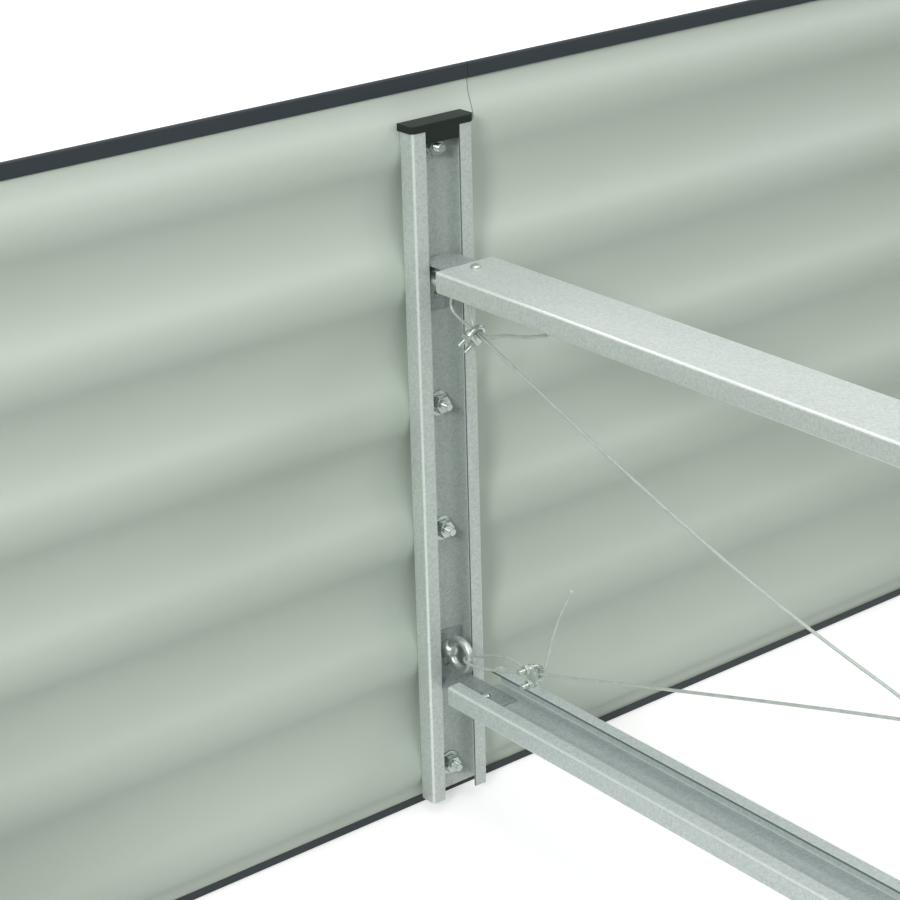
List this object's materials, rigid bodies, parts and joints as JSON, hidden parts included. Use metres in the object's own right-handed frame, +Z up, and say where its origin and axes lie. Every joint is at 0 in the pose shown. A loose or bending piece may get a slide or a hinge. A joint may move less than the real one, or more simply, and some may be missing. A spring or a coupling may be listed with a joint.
{
  "type": "raised garden bed",
  "caption": "Open-bottomed rectangular planter of ribbed sheet panels on posts, tied across its middle by channel braces and crossed wires, to hold soil above the ground.",
  "frame": {"origin": "on the ground in the middle of the bed", "axes": "X along the bed, Y across it along the braces, Z up; +Y is towards the rear long wall"},
  "size_m": [2.2, 1.16, 0.6845],
  "materials": {
    "sheet": "sage green paint on corrugated steel, satin",
    "trim": "dark slate edge trim, satin",
    "corner": "dark slate powder coat, satin",
    "cap": "near black moulded plastic",
    "post": "galvanised steel with a fine spangle",
    "brace": "galvanised steel with a fine spangle",
    "bracket": "galvanised steel",
    "fastener": "zinc plated",
    "screw": "zinc plated",
    "eye_nut": "zinc plated, forged",
    "wire": "stranded steel",
    "clip": "zinc plated"
  },
  "bodies": {
    "root": {"brace_bottom": "brace", "brace_nuts": "fastener", "brace_screws": "fastener", "brace_top": "brace", "bracket_bottom_front": "bracket", "bracket_bottom_rear": "bracket", "bracket_top_front": "bracket", "bracket_top_rear": "bracket", "clip_nuts": "clip", "clip_saddles": "clip", "clip_u_bolts": "clip", "corner_cap_front_left": "cap", "corner_cap_front_right": "cap", "corner_cap_rear_left": "cap", "corner_cap_rear_right": "cap", "corner_post_front_left": "corner", "corner_post_front_right": "corner", "corner_post_rear_left": "corner", "corner_post_rear_right": "corner", "eye_nut_bottom_front": "eye_nut", "eye_nut_bottom_rear": "eye_nut", "eye_nut_top_front": "eye_nut", "eye_nut_top_rear": "eye_nut", "panel_end_left": "sheet", "panel_end_right": "sheet", "panel_front_left": "sheet", "panel_front_right": "sheet", "panel_rear_left": "sheet", "panel_rear_right": "sheet", "panel_screws": "screw", "post_bolts": "fastener", "post_cap_front": "cap", "post_cap_rear": "cap", "post_front": "post", "post_nuts": "fastener", "post_rear": "post", "post_washers": "fastener", "trim_bottom_end_left": "trim", "trim_bottom_end_right": "trim", "trim_bottom_front_left": "trim", "trim_bottom_front_right": "trim", "trim_bottom_rear_left": "trim", "trim_bottom_rear_right": "trim", "trim_top_end_left": "trim", "trim_top_end_right": "trim", "trim_top_front_left": "trim", "trim_top_front_right": "trim", "trim_top_rear_left": "trim", "trim_top_rear_right": "trim", "wire_from_front_top": "wire", "wire_from_rear_top": "wire"}
  },
  "joints": []
}
